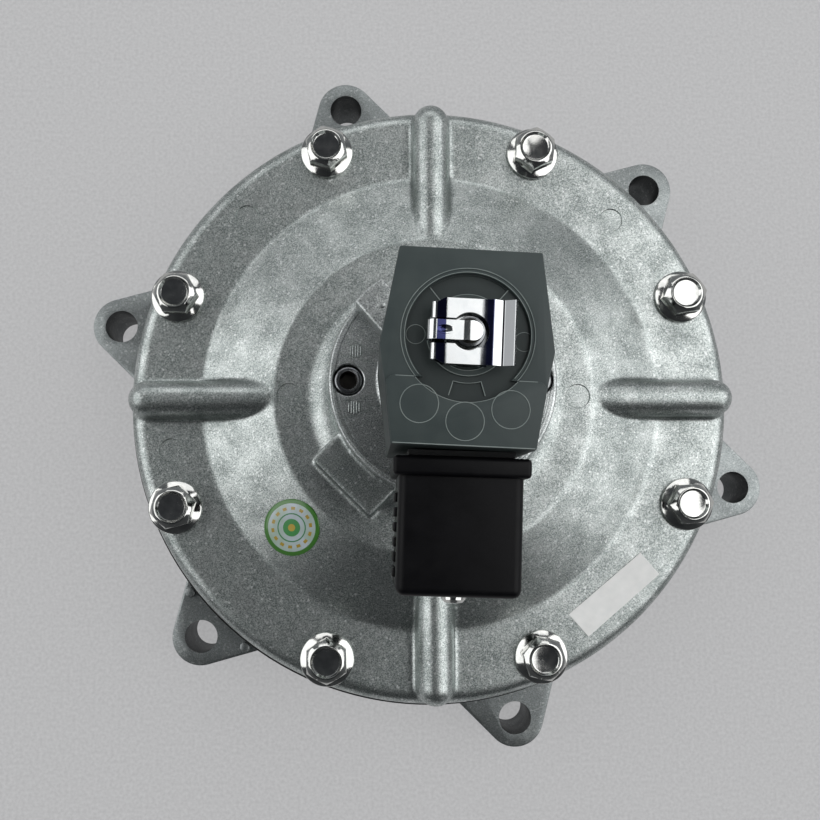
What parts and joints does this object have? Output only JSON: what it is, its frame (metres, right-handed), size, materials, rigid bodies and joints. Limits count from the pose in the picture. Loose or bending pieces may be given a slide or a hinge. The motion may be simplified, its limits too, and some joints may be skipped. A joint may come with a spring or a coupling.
{
  "type": "diaphragm pulse valve",
  "caption": "Manifold-mounted diaphragm pulse valve with a solenoid pilot, for blowing clean the filter bags of a dust collector.",
  "frame": {"origin": "centre of the flat mounting face, on the valve's axis", "axes": "+Z along the valve's axis towards the coil, -Y towards the cable connector"},
  "size_m": [0.2424, 0.2424, 0.1705],
  "materials": {
    "cast_cover": "pressure die-cast aluminium, shot-blasted, mid grey with a fine sparkle",
    "cast_body": "pressure die-cast aluminium, darker and matt",
    "cast_cap": "die-cast aluminium with machined bright edges",
    "zinc_bolt": "bright zinc-plated steel",
    "stainless": "turned stainless steel",
    "spring_steel": "bright spring steel",
    "dark_steel": "soft magnetic steel, dull",
    "copper": "enamelled copper",
    "brass": "turned brass",
    "black_rubber": "black nitrile rubber, matt",
    "coil_resin": "moulded grey-green thermoset resin, satin",
    "black_plastic": "black moulded nylon, satin",
    "pale_plastic": "natural moulded nylon"
  },
  "bodies": {
    "root": {"valve_body": "cast_body", "tank_face_o_ring": "black_rubber", "outlet_o_ring": "black_rubber", "main_diaphragm": "black_rubber", "main_spring": "spring_steel", "top_cover": "cast_cover", "pilot_diaphragm": "black_rubber", "pilot_spring": "spring_steel", "pilot_cap": "cast_cap", "solenoid_stem": "stainless", "stem_o_ring": "black_rubber", "fixed_core": "dark_steel", "shading_ring": "copper", "plunger_spring": "spring_steel", "cover_bolt_1": "zinc_bolt", "cover_bolt_2": "zinc_bolt", "cover_bolt_3": "zinc_bolt", "cover_bolt_4": "zinc_bolt", "cover_bolt_5": "zinc_bolt", "cover_bolt_6": "zinc_bolt", "cover_bolt_7": "zinc_bolt", "cover_bolt_8": "zinc_bolt", "pilot_cap_screw_1": "zinc_bolt", "pilot_cap_screw_2": "zinc_bolt", "pilot_cap_screw_3": "zinc_bolt", "pilot_cap_screw_4": "zinc_bolt"},
    "main_disc": {"seat_pad": "black_rubber", "retainer_plate": "cast_cap", "upper_plate": "cast_cap", "centre_bolt": "zinc_bolt", "centre_nut": "zinc_bolt"},
    "pilot_poppet": {"pilot_disc": "brass"},
    "plunger": {"plunger": "dark_steel", "plunger_seal": "black_rubber"},
    "coil_unit": {"coil_housing": "coil_resin", "coil_bobbin": "pale_plastic", "coil_winding": "copper", "flux_plate_lower": "dark_steel", "flux_plate_upper": "dark_steel", "terminal_pin_1": "zinc_bolt", "terminal_pin_2": "zinc_bolt", "earth_pin": "zinc_bolt", "connector_gasket": "black_rubber", "connector_insert": "pale_plastic", "connector_shell": "black_plastic", "connector_screw": "zinc_bolt", "gland_nut": "black_plastic", "gland_washer": "zinc_bolt", "gland_grommet": "black_rubber", "retaining_clip": "spring_steel"}
  },
  "joints": [
    {"name": "main_diaphragm_lift", "type": "slide", "parent": "root", "child": "main_disc", "axis": [0, 0, 1], "range_m": [0, 0.012], "stiffness_N_per_m": 1500, "springref_m": -0.012, "deforming": ["main_spring", "main_diaphragm"]},
    {"name": "pilot_diaphragm_lift", "type": "slide", "parent": "root", "child": "pilot_poppet", "axis": [0, 0, 1], "range_m": [0, 0.0022], "stiffness_N_per_m": 300, "springref_m": -0.003, "deforming": ["pilot_spring", "pilot_diaphragm"]},
    {"name": "plunger_lift", "type": "slide", "parent": "root", "child": "plunger", "axis": [0, 0, 1], "range_m": [0, 0.0018], "stiffness_N_per_m": 250, "springref_m": -0.004, "deforming": ["plunger_spring"]},
    {"name": "coil_swivel", "type": "hinge", "parent": "root", "child": "coil_unit", "pos_m": [0, 0, 0.14], "axis": [0, 0, 1], "continuous": true}
  ]
}
